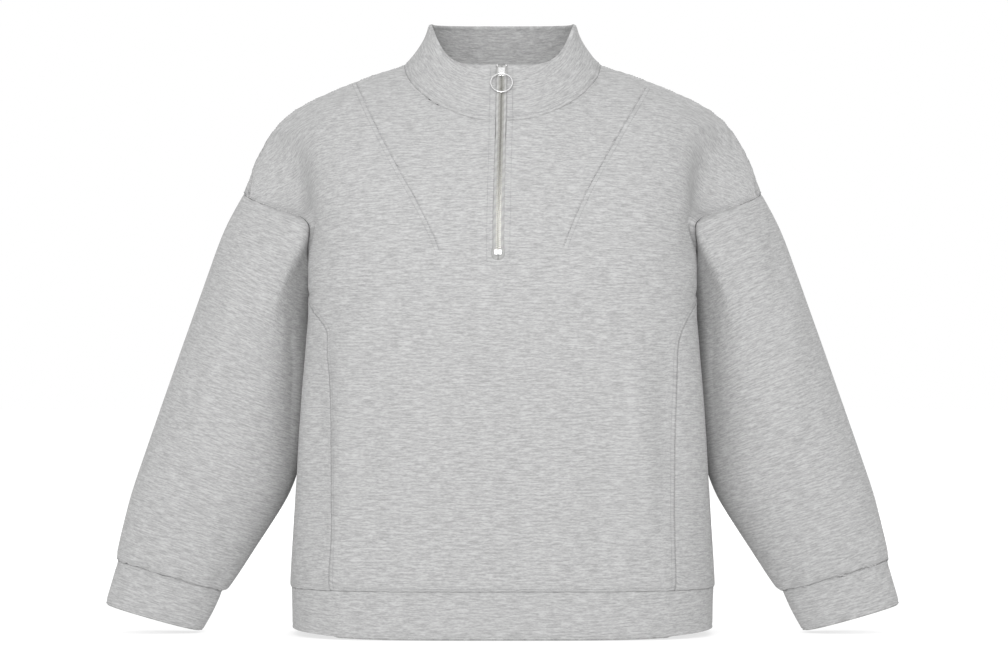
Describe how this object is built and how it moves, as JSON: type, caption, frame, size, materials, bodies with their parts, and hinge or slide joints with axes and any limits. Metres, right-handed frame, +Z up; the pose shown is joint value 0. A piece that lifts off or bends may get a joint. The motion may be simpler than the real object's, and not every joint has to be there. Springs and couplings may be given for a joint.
{
  "type": "sweatshirt",
  "caption": "Quarter-zip sweatshirt with a stand collar, dropped shoulders, side panels, folded cuffs and hem band, in heather grey fleece, filled out as worn.",
  "frame": {"origin": "the middle of the wearer's neck, at the height where the shoulder seams meet the collar", "axes": "+Z up, the front of the garment faces -Y, and +X is the right of the front view"},
  "size_m": [0.9324, 0.298, 0.711],
  "materials": {
    "heather_fleece": "brushed cotton jersey, light heather grey",
    "zip_tape": "woven polyester tape, mid grey",
    "zip_teeth": "nickel-plated metal teeth",
    "zip_hardware": "polished nickel plating"
  },
  "bodies": {
    "garment": {"front_panel": "heather_fleece", "back_panel": "heather_fleece", "side_panel_left": "heather_fleece", "side_panel_right": "heather_fleece", "sleeve_left": "heather_fleece", "sleeve_right": "heather_fleece", "cuff_left": "heather_fleece", "cuff_right": "heather_fleece", "collar": "heather_fleece", "hem_band": "heather_fleece", "zip_tape_left": "zip_tape", "zip_tape_right": "zip_tape", "zip_chain": "zip_teeth", "top_stop_left": "zip_hardware", "top_stop_right": "zip_hardware", "bottom_stop": "zip_hardware", "slider": "zip_hardware"},
    "pull": {"pull_ring": "zip_hardware"}
  },
  "joints": [
    {"name": "ring_swing", "type": "hinge", "parent": "garment", "child": "pull", "pos_m": [-0.00102, -0.08807, -0.01431], "axis": [-1, 0.0019, 0.0031], "range_deg": [0, 150]}
  ]
}
